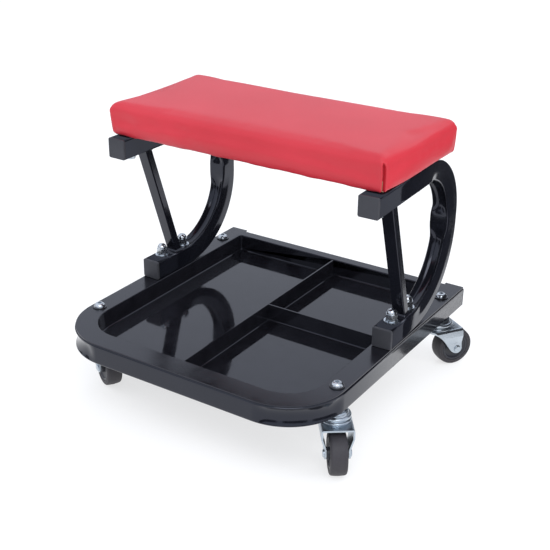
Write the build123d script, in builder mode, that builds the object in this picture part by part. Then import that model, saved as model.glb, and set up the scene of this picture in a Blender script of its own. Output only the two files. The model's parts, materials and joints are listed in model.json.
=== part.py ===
"""Rolling creeper seat: a U-shaped square-tube base on four swivel casters carries a moulded tool tray
and two C-shaped arms, and the arms carry a padded seat. Each arm is one bent tube, kept here as an upper
and a lower half that meet at a level cut inside the lower bend.

Units are millimetres. +X runs along the seat to the right, +Y to the back, +Z up. The origin is on the
floor, under the middle of the base.
"""
from build123d import *
from math import atan2, cos, radians, sin, tan
import os

os.makedirs("parts", exist_ok=True)

# ---- base frame -------------------------------------------------------------------------------------
TUBE = 25.0  # square tube, outside
TUBE_WALL = 1.5
TUBE_CORNER = 2.4  # outside corner radius of the tube's section
CASTER_H = 70.5  # floor to the underside of the base
BASE_HALF_W = 182.5
BASE_HALF_D = 192.5
BASE_BEND_R = 61.0  # centreline radius of the two front corners

# ---- tool tray --------------------------------------------------------------------------------------
FLANGE_T = 1.5
FLANGE_BACK_Y = BASE_HALF_D - 0.5
FLANGE_INSET = 1.2  # the tube's rounded edge shows outside the flange
TRAY_WALL = 1.8
TRAY_BACK_CORNER_R = 4.0
TRAY_DEPTH = 22.0  # rim to the inner floor
TRAY_DRAFT = 3.0  # degrees
TRAY_GAP = 0.4  # tray wall to tube
TRAY_FRONT_Y = -165.5  # outer face of the front wall, at the rim
TRAY_REAR_Y = 173.0  # inner edge of the rear rim
REAR_RIM_Y = 187.0  # outer edge of the rear rim
REAR_LIP_H = 10.0
REAR_LIP_SIDE_GAP = 0.5
DIVIDER_X = -2.0
CROSS_DIVIDER_Y = 11.0
DIVIDER_T = 1.8
DIVIDER_DROP = 1.0  # divider tops sit this far below the rim
DIVIDER_BITE = 0.5  # the long divider runs this far into the end walls
DIVIDER_END_GAP = 0.2  # the cross divider stops this far inside the side wall's outer face
BORE_CLEARANCE = 0.05  # radial, between a shank and the part it passes through
OVERCUT = 1.0  # how far a cut runs past the surface it opens

# ---- arms -------------------------------------------------------------------------------------------
ARM_X = 169.5  # arm centreline from the centre plane, at Y = 0
ARM_TOE = 1.5  # degrees that each arm turns in towards the back
UPPER_LEG_Z = 288.5
UPPER_CAP_Y = -66.9
LOWER_CAP_Y = -13.8
ARM_BACK_Y = 143.4  # centreline of the upright part of the bend
UPPER_BEND_R = 76.0
LOWER_BEND_R = 92.0
ARM_SPLIT_Z = 186.0  # level of the joint between the arm's upper and lower halves
CAP_T = 3.0
CAP_PLUG = 12.0
CAP_EDGE = 0.8
CAP_PLUG_GAP = 0.1  # plug to the tube wall
CAP_PLUG_WALL = 2.0
CAP_PLUG_INNER_R = 0.5

# ---- braces -----------------------------------------------------------------------------------------
BRACE_W = 16.0  # across the arm
BRACE_D = 11.0  # fore and aft, square to its length
BRACE_WALL = 1.5
BRACE_TOP_Y = -22.2  # front face where it meets the upper leg
BRACE_FOOT_Y = 29.8  # front face where it meets the lower leg
WELD_LEG = 2.0

# ---- seat -------------------------------------------------------------------------------------------
SEAT_L = 376.0  # at the top, where it is widest
SEAT_W = 177.0
SEAT_FLARE = 4.0  # degrees that the sides lean out towards the top
SEAT_Y = 29.0
SEAT_H = 41.0
SEAT_CORNER_R = 8.0
SEAT_EDGE_R = 7.0
COVER_T = 1.2
COVER_WRAP = 24.0  # how far the cover turns in under the board
BOARD_T = 12.0
BOARD_INSET = 6.0  # the foam wraps the board's edge this far in from the outline
LINING_T = 0.8
SEAT_BOLT_Y = (-41.0, 52.0)
TEE_NUT_H = 10.0
TEE_NUT_WALL = 1.2
TEE_NUT_FLANGE_R = 9.0
STAPLE_PITCH = 32.0
STAPLE_COUNT = 9
STAPLE_L = 10.0
STAPLE_W = 1.2
STAPLE_WIRE = 0.6
STAPLE_LEG = 8.0

# ---- fasteners --------------------------------------------------------------------------------------
M8_R = 4.0
M8_HOLE_R = 4.25
M8_FLATS = 13.0
M8_HEAD_H = 5.3
M6_R = 3.0
M6_HOLE_R = 3.3
M6_FLATS = 10.0
M6_HEAD_H = 4.0
FRAME_BOLT_Y = (10.5, 52.5)
WASHER_R = 9.0
WASHER_T = 1.6
SPRING_WASHER_R = 7.2
SPRING_WASHER_T = 2.0
DOME_NUT_HEX_H = 6.5
DOME_NUT_H = 12.5
CASTER_SCREW_HEAD_R = 7.0
CASTER_SCREW_HEAD_H = 4.4
CASTER_SCREW_WASHER_R = 8.6
CASTER_SCREW_WASHER_T = 1.2
HEX_SOCKET = 5.0

# ---- casters ----------------------------------------------------------------------------------------
WHEEL_R = 25.0
WHEEL_W = 19.6
TRAIL = 22.0  # swivel axis to wheel axis
CROWN_Z = 56.0  # top of the fork's flat crown
SHEET = 2.0
FORK_TOP_HALF_W = 18.5
FORK_AXLE_HALF_W = 14.4
AXLE_R = 3.0
SLEEVE_R = 4.1
PIVOT_R = 6.0
BALL_R = 1.75
BALL_RING_R = 11.5
BALL_COUNT = 14
CASTER_FRONT_Y = -115.0
CASTER_REAR_Y = 149.0
CASTER_X = BASE_HALF_W - TUBE / 2

# Each caster: side of the centre plane, place along Y, and the direction that its wheel trails (degrees).
CASTERS = {
    "front_right": (1, CASTER_FRONT_Y, -53.2),
    "front_left": (-1, CASTER_FRONT_Y, -29.7),
    "rear_right": (1, CASTER_REAR_Y, 56.8),
    "rear_left": (-1, CASTER_REAR_Y, -126.8),
}

# ---- derived ----------------------------------------------------------------------------------------
TUBE_X = BASE_HALF_W - TUBE / 2
TUBE_Z = CASTER_H + TUBE / 2
RIM_Z = CASTER_H + TUBE + FLANGE_T
TRAY_HALF_W = BASE_HALF_W - TUBE - TRAY_GAP
LOWER_LEG_Z = RIM_Z + TUBE / 2
ARM_LOW_TOP = RIM_Z + TUBE
SEAT_Z = UPPER_LEG_Z + TUBE / 2
BRACE_TOP_Z = UPPER_LEG_Z - TUBE / 2
BRACE_LEAN = atan2(BRACE_FOOT_Y - BRACE_TOP_Y, BRACE_TOP_Z - ARM_LOW_TOP)
BRACE_RUN = BRACE_D / cos(BRACE_LEAN)  # fore-and-aft length of a level cut through the brace
SEAT_TOP_Z = SEAT_Z + SEAT_H
BOARD_Z = SEAT_Z + COVER_T
FOAM_Z = BOARD_Z + BOARD_T


def save(builder, node):
    """Label a finished sub-part and write its file."""
    builder.part.label = node
    export_step(builder.part, f"parts/{node}.step")


def save_pair(make, name):
    """Write the right-hand piece that make() returns, and its mirror image."""
    shape = make()
    for side in ("right", "left"):
        with BuildPart() as piece:
            if side == "right":
                add(shape)
            else:
                mirror(shape, about=Plane.YZ)
        save(piece, f"{side}_{name}")


def arm_point(y, z):
    """A point on the right arm's centre plane, y back from the point level with Y = 0."""
    toe = radians(ARM_TOE)
    return (ARM_X - y * sin(toe), y * cos(toe), z)


def arm_plane(y, z, across=False):
    """The right arm's centre plane, or with across=True the level plane there, turned with the arm."""
    toe = radians(ARM_TOE)
    back = (-sin(toe), cos(toe), 0)
    side = (cos(toe), sin(toe), 0)
    if across:
        return Plane(origin=arm_point(y, z), x_dir=side, z_dir=(0, 0, 1))
    return Plane(origin=arm_point(y, z), x_dir=back, z_dir=side)


def both_sides(points):
    """Each point and its mirror image across the centre plane."""
    return [(side * x, y, z) for x, y, z in points for side in (1, -1)]


FRAME_BOLTS = both_sides([arm_point(y, 0) for y in FRAME_BOLT_Y])
SEAT_BOLTS = both_sides([arm_point(y, 0) for y in SEAT_BOLT_Y])
CASTER_AXES = [(side * CASTER_X, y, 0) for side, y, _ in CASTERS.values()]


def raised(points, z):
    """The same points at height z."""
    return [(x, y, z) for x, y, _ in points]


UP = (Align.CENTER, Align.CENTER, Align.MIN)


# ---- base -------------------------------------------------------------------------------------------
def make_base_tube():
    """U-shaped tube, open at the back, with rounded front corners and through holes for the bolts."""
    with BuildPart() as base_tube:
        with BuildLine(Plane.XY.offset(TUBE_Z)) as path:
            front_y = -BASE_HALF_D + TUBE / 2
            FilletPolyline(
                (TUBE_X, BASE_HALF_D - CAP_T),
                (TUBE_X, front_y),
                (-TUBE_X, front_y),
                (-TUBE_X, BASE_HALF_D - CAP_T),
                radius=BASE_BEND_R,
            )
        with BuildSketch(Plane(origin=path.line @ 0, x_dir=(1, 0, 0), z_dir=path.line % 0)):
            RectangleRounded(TUBE, TUBE, TUBE_CORNER)
            inner = TUBE - 2 * TUBE_WALL
            RectangleRounded(inner, inner, TUBE_CORNER - TUBE_WALL, mode=Mode.SUBTRACT)
        sweep()
        with Locations(*raised(FRAME_BOLTS + CASTER_AXES, TUBE_Z)):
            Cylinder(M8_HOLE_R, TUBE + 2, mode=Mode.SUBTRACT)
    save(base_tube, "base_tube")


def make_cap(plane):
    """Square plastic end cap with a ribbed plug, its outer face on the given plane."""
    with BuildPart() as cap:
        with BuildSketch(plane):
            RectangleRounded(TUBE, TUBE, TUBE_CORNER)
        extrude(amount=-CAP_T)
        chamfer(cap.faces().sort_by(Axis(plane.origin, plane.z_dir))[-1].edges(), CAP_EDGE)
        with BuildSketch(plane.offset(-CAP_T)):
            plug = TUBE - 2 * (TUBE_WALL + CAP_PLUG_GAP)
            hollow = plug - 2 * CAP_PLUG_WALL
            RectangleRounded(plug, plug, TUBE_CORNER - TUBE_WALL)
            RectangleRounded(hollow, hollow, CAP_PLUG_INNER_R, mode=Mode.SUBTRACT)
        extrude(amount=-CAP_PLUG)
    return cap.part


def make_base_cap():
    return make_cap(Plane(origin=(TUBE_X, BASE_HALF_D, TUBE_Z), x_dir=(1, 0, 0), z_dir=(0, 1, 0)))


def arm_cap_plane(y, z):
    """Plane across the right arm's tube, facing forwards."""
    toe = radians(ARM_TOE)
    return Plane(origin=arm_point(y, z), x_dir=(cos(toe), sin(toe), 0), z_dir=(sin(toe), -cos(toe), 0))


def make_upper_cap():
    return make_cap(arm_cap_plane(UPPER_CAP_Y, UPPER_LEG_Z))


def make_lower_cap():
    return make_cap(arm_cap_plane(LOWER_CAP_Y, LOWER_LEG_Z))


# ---- tool tray --------------------------------------------------------------------------------------
def tray_outline(inset, front_y, rear_y, corner_r):
    """Tray-shaped sketch outline: square at the back, rounded at the front."""
    half_w = TRAY_HALF_W - inset
    with BuildSketch(Plane.XY) as outline:
        with Locations((0, (front_y + rear_y) / 2)):
            Rectangle(2 * half_w, rear_y - front_y)
        fillet(outline.vertices().group_by(Axis.Y)[0], corner_r)
        fillet(outline.vertices().group_by(Axis.Y)[-1], TRAY_BACK_CORNER_R)
    return outline.sketch


def flange_outline():
    """Outer edge of the flange: the base's outline inset, with a straight back."""
    front_y = -BASE_HALF_D + FLANGE_INSET
    with BuildSketch(Plane.XY) as outline:
        with Locations((0, (front_y + FLANGE_BACK_Y) / 2)):
            Rectangle(2 * (BASE_HALF_W - FLANGE_INSET), FLANGE_BACK_Y - front_y)
        fillet(outline.vertices().group_by(Axis.Y)[0], BASE_BEND_R + TUBE / 2 - FLANGE_INSET)
    return outline.sketch


def rib_section(height):
    """Upright section of a divider: wider at the floor than at the top."""
    spread = DIVIDER_T + 2 * height * tan(radians(TRAY_DRAFT / 2))
    with BuildSketch(Plane.XY) as section:
        with BuildLine():
            Polyline(
                (-spread / 2, 0),
                (spread / 2, 0),
                (DIVIDER_T / 2, height),
                (-DIVIDER_T / 2, height),
                close=True,
            )
        make_face()
    return section.sketch


def make_tool_tray():
    """Moulded tray: flange over the base tube, drafted walls, floor, a long and a cross divider."""
    floor_z = RIM_Z - TRAY_DEPTH
    shift = TRAY_DEPTH * tan(radians(TRAY_DRAFT))
    wall_corner_r = BASE_BEND_R - TUBE / 2 - TRAY_GAP
    shell_bottom = floor_z - TRAY_WALL
    shell_h = RIM_Z - shell_bottom
    with BuildPart() as tray:
        with BuildSketch(Plane.XY.offset(RIM_Z)):
            add(flange_outline())
        extrude(amount=-FLANGE_T)
        # The rear rim stops short of the tube ends, between the two side flanges.
        cut_back_y = BASE_HALF_D + OVERCUT
        with Locations((0, (REAR_RIM_Y + cut_back_y) / 2, RIM_Z)):
            Box(2 * TRAY_HALF_W, cut_back_y - REAR_RIM_Y, 4 * FLANGE_T, mode=Mode.SUBTRACT)
        with BuildSketch(Plane.XY.offset(RIM_Z)):
            add(tray_outline(0, TRAY_FRONT_Y, TRAY_REAR_Y + TRAY_WALL, wall_corner_r))
        extrude(amount=-shell_h, taper=TRAY_DRAFT)
        with BuildSketch(Plane.XY.offset(RIM_Z)):
            add(
                tray_outline(
                    TRAY_WALL, TRAY_FRONT_Y + TRAY_WALL, TRAY_REAR_Y, wall_corner_r - TRAY_WALL
                )
            )
        extrude(amount=-TRAY_DEPTH, taper=TRAY_DRAFT, mode=Mode.SUBTRACT)
        # Turned-down lip along the rear rim.
        with Locations((0, REAR_RIM_Y - TRAY_WALL / 2, RIM_Z - REAR_LIP_H)):
            Box(2 * (TRAY_HALF_W - REAR_LIP_SIDE_GAP), TRAY_WALL, REAR_LIP_H, align=UP)
        # Dividers: drafted ribs that run into the walls' thickness at both ends.
        rib_h = TRAY_DEPTH - DIVIDER_DROP
        with BuildSketch(Plane.XZ.offset(-TRAY_REAR_Y - DIVIDER_BITE)):
            with Locations((DIVIDER_X, floor_z)):
                add(rib_section(rib_h))
        extrude(amount=TRAY_REAR_Y - TRAY_FRONT_Y - TRAY_WALL + 2 * DIVIDER_BITE)
        with BuildSketch(Plane.YZ.offset(DIVIDER_X)):
            with Locations((CROSS_DIVIDER_Y, floor_z)):
                add(rib_section(rib_h))
        extrude(amount=TRAY_HALF_W - DIVIDER_X - shift - DIVIDER_END_GAP)
        with Locations(*raised(FRAME_BOLTS + CASTER_AXES, RIM_Z)):
            Cylinder(M8_HOLE_R, 4 * FLANGE_T, mode=Mode.SUBTRACT)
    save(tray, "tool_tray")


# ---- arms -------------------------------------------------------------------------------------------
def make_whole_arm():
    """C-shaped square tube: upper leg, two bends joined by a short upright, lower leg."""
    with BuildPart() as arm:
        with BuildLine(arm_plane(0, 0)) as path:
            FilletPolyline(
                (UPPER_CAP_Y + CAP_T, UPPER_LEG_Z),
                (ARM_BACK_Y, UPPER_LEG_Z),
                (ARM_BACK_Y, LOWER_LEG_Z),
                (LOWER_CAP_Y + CAP_T, LOWER_LEG_Z),
                radius=[UPPER_BEND_R, LOWER_BEND_R],
            )
        side = arm_plane(0, 0).z_dir
        with BuildSketch(Plane(origin=path.line @ 0, x_dir=side, z_dir=path.line % 0)):
            RectangleRounded(TUBE, TUBE, TUBE_CORNER)
            inner = TUBE - 2 * TUBE_WALL
            RectangleRounded(inner, inner, TUBE_CORNER - TUBE_WALL, mode=Mode.SUBTRACT)
        sweep()
        with Locations(*[arm_point(y, LOWER_LEG_Z) for y in FRAME_BOLT_Y]):
            Cylinder(M8_HOLE_R, TUBE + 2, mode=Mode.SUBTRACT)
        # The washers press the lower leg's top face flat, also where the bend begins.
        with Locations(*[arm_point(y, ARM_LOW_TOP) for y in FRAME_BOLT_Y]):
            Cylinder(WASHER_R + 0.3, 4, align=UP, mode=Mode.SUBTRACT)
        with Locations(*[arm_point(y, UPPER_LEG_Z) for y in SEAT_BOLT_Y]):
            Cylinder(M6_HOLE_R, TUBE + 2, mode=Mode.SUBTRACT)
    return arm.part


def make_arm_half(keep):
    """The part of the arm above or below the level cut inside its lower bend."""
    with BuildPart() as half:
        add(make_whole_arm())
        split(bisect_by=Plane.XY.offset(ARM_SPLIT_Z), keep=keep)
    return half.part


def make_arm_upper_tube():
    return make_arm_half(Keep.TOP)


def make_arm_lower_tube():
    return make_arm_half(Keep.BOTTOM)


def brace_side(inset, overrun=0.0):
    """Side view of the brace between the two legs, as points in the arm's plane."""
    run = BRACE_RUN - 2 * inset / cos(BRACE_LEAN)
    start = inset / cos(BRACE_LEAN)
    slope = tan(BRACE_LEAN)
    low = (BRACE_FOOT_Y + start + overrun * slope, ARM_LOW_TOP - overrun)
    high = (BRACE_TOP_Y + start - overrun * slope, BRACE_TOP_Z + overrun)
    return [low, (low[0] + run, low[1]), (high[0] + run, high[1]), high]


def make_brace():
    """Rectangular tube leaning back from the upper leg to the lower leg."""
    with BuildPart() as brace:
        with BuildSketch(arm_plane(0, 0)):
            with BuildLine():
                Polyline(*brace_side(0), close=True)
            make_face()
        extrude(amount=BRACE_W / 2, both=True)
        along = arm_plane(0, 0).to_local_coords
        long_edges = [e for e in brace.edges() if abs(along(e @ 0).Y - along(e @ 1).Y) > TUBE]
        fillet(long_edges, 1.6)
        with BuildSketch(arm_plane(0, 0)):
            with BuildLine():
                Polyline(*brace_side(BRACE_WALL, overrun=1.0), close=True)
            make_face()
        extrude(amount=BRACE_W / 2 - BRACE_WALL, both=True, mode=Mode.SUBTRACT)
    return brace.part


def make_brace_welds():
    """Fillet weld beads round the foot and the head of each brace."""
    with BuildPart() as weld:
        middle_run = BRACE_RUN / 2
        foot = arm_plane(BRACE_FOOT_Y + middle_run, ARM_LOW_TOP, across=True)
        head = arm_plane(BRACE_TOP_Y + middle_run, BRACE_TOP_Z, across=True)
        for plane, rise in ((foot, 1), (head, -1)):
            with BuildSketch(plane):
                Rectangle(BRACE_W + 2 * WELD_LEG, BRACE_RUN + 2 * WELD_LEG)
                fillet(vertices(), WELD_LEG)
            extrude(amount=rise * WELD_LEG, taper=40)
        with BuildSketch(arm_plane(0, 0)):
            with BuildLine():
                Polyline(*brace_side(0, overrun=1.0), close=True)
            make_face()
        extrude(amount=BRACE_W / 2, both=True, mode=Mode.SUBTRACT)
    return weld.part


# ---- seat -------------------------------------------------------------------------------------------
def seat_block(inset, low_z, high_z, top_r):
    """Seat-shaped block that flares upwards, inset from the seat's outline."""
    narrowing = inset + (SEAT_TOP_Z - low_z) * tan(radians(SEAT_FLARE))
    with BuildPart() as block:
        with BuildSketch(Plane.XY.offset(low_z)):
            with Locations((0, SEAT_Y)):
                corner_r = max(SEAT_CORNER_R - inset, 2.0)
                RectangleRounded(SEAT_L - 2 * narrowing, SEAT_W - 2 * narrowing, corner_r)
        extrude(amount=high_z - low_z, taper=-SEAT_FLARE)
        if top_r:
            fillet(block.faces().sort_by(Axis.Z)[-1].edges(), top_r)
    return block.part


def lining_box(height_from, height_to, gap):
    """Opening inside the cover's turned-in hem, shrunk by a gap."""
    with BuildPart() as box:
        with Locations((0, SEAT_Y, height_from)):
            length = SEAT_L - 2 * (COVER_WRAP + gap)
            width = SEAT_W - 2 * (COVER_WRAP + gap)
            Box(length, width, height_to - height_from, align=UP)
    return box.part


def seat_tee_nut_shapes():
    """Tee nuts pressed into the top of the board."""
    with BuildPart() as nuts:
        with Locations(*raised(SEAT_BOLTS, FOAM_Z - TEE_NUT_H)):
            Cylinder(M6_R + TEE_NUT_WALL, TEE_NUT_H, align=UP)
        with Locations(*raised(SEAT_BOLTS, FOAM_Z)):
            Cylinder(TEE_NUT_FLANGE_R, COVER_T, align=UP)
    return nuts.part


def seat_staple_shapes():
    """Upholstery staples along the front and back hems."""
    with BuildPart() as staples:
        hem_mid = COVER_WRAP / 2
        for y in (SEAT_Y - SEAT_W / 2 + hem_mid, SEAT_Y + SEAT_W / 2 - hem_mid):
            with Locations((0, y, SEAT_Z - STAPLE_WIRE)):
                with GridLocations(STAPLE_PITCH, 1, STAPLE_COUNT, 1):
                    Box(STAPLE_L, STAPLE_W, STAPLE_WIRE, align=UP)
                with GridLocations(STAPLE_PITCH, 1, STAPLE_COUNT, 1):
                    with GridLocations(STAPLE_L - STAPLE_WIRE, 1, 2, 1):
                        Box(STAPLE_WIRE, STAPLE_W, STAPLE_LEG, align=UP)
    return staples.part


def make_seat():
    """Board, foam, cover with a turned-in hem, dust lining, tee nuts and staples."""
    tee_nuts = seat_tee_nut_shapes()
    staples = seat_staple_shapes()
    core = seat_block(COVER_T, BOARD_Z, SEAT_TOP_Z - COVER_T, SEAT_EDGE_R - COVER_T)
    board_blank = seat_block(BOARD_INSET, BOARD_Z, FOAM_Z, 0)
    with BuildPart() as board:
        add(board_blank)
        add(tee_nuts, mode=Mode.SUBTRACT)
        add(staples, mode=Mode.SUBTRACT)
        with Locations(*raised(SEAT_BOLTS, FOAM_Z - BOARD_T)):
            Cylinder(M6_HOLE_R, BOARD_T, align=UP, mode=Mode.SUBTRACT)
    save(board, "seat_board")
    with BuildPart() as foam:
        add(core)
        add(board_blank, mode=Mode.SUBTRACT)
        add(tee_nuts, mode=Mode.SUBTRACT)
    save(foam, "seat_foam")
    with BuildPart() as cover:
        add(seat_block(0, SEAT_Z, SEAT_TOP_Z, SEAT_EDGE_R))
        add(core, mode=Mode.SUBTRACT)
        add(lining_box(SEAT_Z - 1, BOARD_Z, 0), mode=Mode.SUBTRACT)
        add(staples, mode=Mode.SUBTRACT)
        with Locations(*raised(SEAT_BOLTS, SEAT_Z)):
            Cylinder(M6_HOLE_R, 2 * COVER_T, mode=Mode.SUBTRACT)
    save(cover, "seat_cover")
    with BuildPart() as lining:
        add(lining_box(BOARD_Z - LINING_T, BOARD_Z, 0.4))
    save(lining, "seat_lining")
    with BuildPart() as nuts:
        add(tee_nuts)
        with Locations(*raised(SEAT_BOLTS, FOAM_Z - 11)):
            Cylinder(M6_R + BORE_CLEARANCE, 14, align=UP, mode=Mode.SUBTRACT)
    save(nuts, "seat_tee_nuts")
    with BuildPart() as staple_set:
        add(staples)
    save(staple_set, "seat_staples")


# ---- fasteners --------------------------------------------------------------------------------------
def hex_bolts(points, under_head_z, length, shank_r, flats, head_h):
    """Hex-head bolts pointing up, heads below under_head_z."""
    with BuildPart() as bolts:
        with BuildSketch(Plane.XY.offset(under_head_z - head_h)):
            with Locations(*[(x, y) for x, y, _ in points]):
                RegularPolygon(flats / 2, 6, major_radius=False)
        extrude(amount=head_h)
        with BuildSketch(Plane.XY.offset(under_head_z)):
            with Locations(*[(x, y) for x, y, _ in points]):
                Circle(shank_r)
        extrude(amount=length)
    return bolts


def rings(points, z, outer_r, inner_r, height):
    """Flat rings standing on height z."""
    with BuildPart() as washers:
        with BuildSketch(Plane.XY.offset(z)):
            with Locations(*[(x, y) for x, y, _ in points]):
                Circle(outer_r)
                Circle(inner_r, mode=Mode.SUBTRACT)
        extrude(amount=height)
    return washers


def make_dome_nuts(z):
    """Hex dome nuts with a blind thread."""
    dome_r = M8_FLATS / 2 - 0.4
    dome_h = DOME_NUT_H - DOME_NUT_HEX_H
    with BuildPart() as nuts:
        with BuildSketch(Plane.XY.offset(z)):
            with Locations(*[(x, y) for x, y, _ in FRAME_BOLTS]):
                RegularPolygon(M8_FLATS / 2, 6, major_radius=False)
        extrude(amount=DOME_NUT_HEX_H)
        with Locations(*raised(FRAME_BOLTS, z + DOME_NUT_HEX_H)):
            Cylinder(dome_r, dome_h, align=UP)
        fillet(nuts.edges().filter_by(GeomType.CIRCLE).group_by(Axis.Z)[-1], dome_h - 0.4)
        with Locations(*raised(FRAME_BOLTS, z)):
            Cylinder(M8_R + BORE_CLEARANCE, DOME_NUT_HEX_H + 1, align=UP, mode=Mode.SUBTRACT)
    return nuts


def make_frame_fasteners():
    """Bolts up through base, tray flange and arm, washers both ends, dome nuts on top."""
    head_z = CASTER_H - WASHER_T
    top_z = ARM_LOW_TOP
    spring_z = top_z + WASHER_T
    nut_z = spring_z + SPRING_WASHER_T
    bolt_len = nut_z + DOME_NUT_HEX_H - head_z
    hole_r = M8_R + 0.2
    bolts = hex_bolts(FRAME_BOLTS, head_z, bolt_len, M8_R, M8_FLATS, M8_HEAD_H)
    save(bolts, "frame_bolts")
    save(rings(FRAME_BOLTS, head_z, WASHER_R - 2, hole_r, WASHER_T), "frame_bolt_washers")
    save(rings(FRAME_BOLTS, top_z, WASHER_R, hole_r, WASHER_T), "frame_flat_washers")
    with BuildPart() as spring_washers:
        add(rings(FRAME_BOLTS, spring_z, SPRING_WASHER_R, hole_r, SPRING_WASHER_T).part)
        for x, y, _ in FRAME_BOLTS:
            with Locations(Location((x, y - SPRING_WASHER_R, spring_z), (0, 25, 0))):
                Box(1.2, 2 * SPRING_WASHER_R - 2, 4 * SPRING_WASHER_T, mode=Mode.SUBTRACT)
    save(spring_washers, "frame_spring_washers")
    save(make_dome_nuts(nut_z), "frame_dome_nuts")


def make_seat_fasteners():
    """Bolts up through each upper leg into the board's tee nuts."""
    head_z = BRACE_TOP_Z - WASHER_T
    bolts = hex_bolts(SEAT_BOLTS, head_z, FOAM_Z - head_z, M6_R, M6_FLATS, M6_HEAD_H)
    save(bolts, "seat_bolts")
    save(rings(SEAT_BOLTS, head_z, 8.0, M6_HOLE_R, WASHER_T), "seat_bolt_washers")


def make_caster_fasteners():
    """Button-head screws down through flange and tube, with pivot bushes and lock nuts under the forks."""
    seat_z = RIM_Z + CASTER_SCREW_WASHER_T
    nut_h = 8.0
    bush_flange_z = CROWN_Z - 2.2
    nut_z = bush_flange_z - nut_h
    screw_end = nut_z - 1.5
    with BuildPart() as screws:
        for x, y, _ in CASTER_AXES:
            profile_plane = Plane(origin=(x, y, seat_z), x_dir=(1, 0, 0), z_dir=(0, -1, 0))
            with BuildSketch(profile_plane):
                with BuildLine():
                    flat_r = CASTER_SCREW_HEAD_R / 2
                    Polyline((0, CASTER_SCREW_HEAD_H), (0, 0), (CASTER_SCREW_HEAD_R, 0))
                    Line((CASTER_SCREW_HEAD_R, 0), (CASTER_SCREW_HEAD_R, 0.6))
                    ThreePointArc(
                        (CASTER_SCREW_HEAD_R, 0.6),
                        (flat_r + 2.3, CASTER_SCREW_HEAD_H - 1.3),
                        (flat_r, CASTER_SCREW_HEAD_H),
                    )
                    Line((flat_r, CASTER_SCREW_HEAD_H), (0, CASTER_SCREW_HEAD_H))
                make_face()
            revolve(axis=Axis((x, y, 0), (0, 0, 1)))
        with BuildSketch(Plane.XY.offset(seat_z)):
            with Locations(*[(x, y) for x, y, _ in CASTER_AXES]):
                Circle(M8_R)
        extrude(amount=screw_end - seat_z)
        with BuildSketch(Plane.XY.offset(seat_z + CASTER_SCREW_HEAD_H)):
            with Locations(*[(x, y) for x, y, _ in CASTER_AXES]):
                RegularPolygon(HEX_SOCKET / 2, 6, major_radius=False)
        extrude(amount=-2.6, mode=Mode.SUBTRACT)
    save(screws, "caster_screws")
    hole_r = M8_R + 0.2
    washers = rings(CASTER_AXES, RIM_Z, CASTER_SCREW_WASHER_R, hole_r, CASTER_SCREW_WASHER_T)
    save(washers, "caster_screw_washers")
    with BuildPart() as nuts:
        with BuildSketch(Plane.XY.offset(nut_z)):
            with Locations(*[(x, y) for x, y, _ in CASTER_AXES]):
                RegularPolygon(M8_FLATS / 2, 6, major_radius=False)
                Circle(M8_R + BORE_CLEARANCE, mode=Mode.SUBTRACT)
        extrude(amount=nut_h)
    save(nuts, "caster_lock_nuts")
    # Flanged bush that the fork turns on: it stands on the nut and carries the race cup.
    with BuildPart() as bushes:
        add(rings(CASTER_AXES, bush_flange_z, 10.5, M8_R + BORE_CLEARANCE, 1.6).part)
        barrel_h = RACE_UNDER_Z - bush_flange_z
        add(rings(CASTER_AXES, bush_flange_z, PIVOT_R, M8_R + BORE_CLEARANCE, barrel_h).part)
    save(bushes, "caster_pivot_bushes")


# ---- casters ----------------------------------------------------------------------------------------
BEAD_TOP_Z = CROWN_Z + 3.5  # top of the fork's raised race bead
BALL_Z = BEAD_TOP_Z + 0.9 + 0.25  # ball centres, above a shallow groove
RACE_UNDER_Z = BALL_Z + BALL_R - 0.6  # flat underside of the race cup


def caster_place(name):
    """Location that turns a caster made along +X and stands it under its screw."""
    side, y, yaw = CASTERS[name]
    return Location((side * CASTER_X, y, 0), (0, 0, yaw))


def make_race_cup():
    """Fixed upper race: a pressed cup between the base tube and the ball ring."""
    with BuildPart() as cup:
        with BuildSketch(Plane.XZ):
            with BuildLine():
                Polyline(
                    (M8_R + BORE_CLEARANCE, RACE_UNDER_Z),
                    (14.9, RACE_UNDER_Z),
                    (14.9, BEAD_TOP_Z + 0.8),
                    (16.4, BEAD_TOP_Z + 0.8),
                    (16.4, RACE_UNDER_Z + 1.2),
                    (15.6, RACE_UNDER_Z + 2.4),
                    (12.2, CASTER_H - 2.2),
                    (11.0, CASTER_H),
                    (M8_R + BORE_CLEARANCE, CASTER_H),
                    close=True,
                )
            make_face()
        revolve(axis=Axis.Z)
        with BuildSketch(Plane.XZ):
            with Locations((BALL_RING_R, BALL_Z)):
                Circle(BALL_R + 0.25)
        revolve(axis=Axis.Z, mode=Mode.SUBTRACT)
    return cup.part


def make_ball_ring():
    """Ring of separate bearing balls."""
    with BuildPart() as balls:
        with Locations((0, 0, BALL_Z)):
            with PolarLocations(BALL_RING_R, BALL_COUNT):
                Sphere(BALL_R)
    return balls.part


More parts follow.
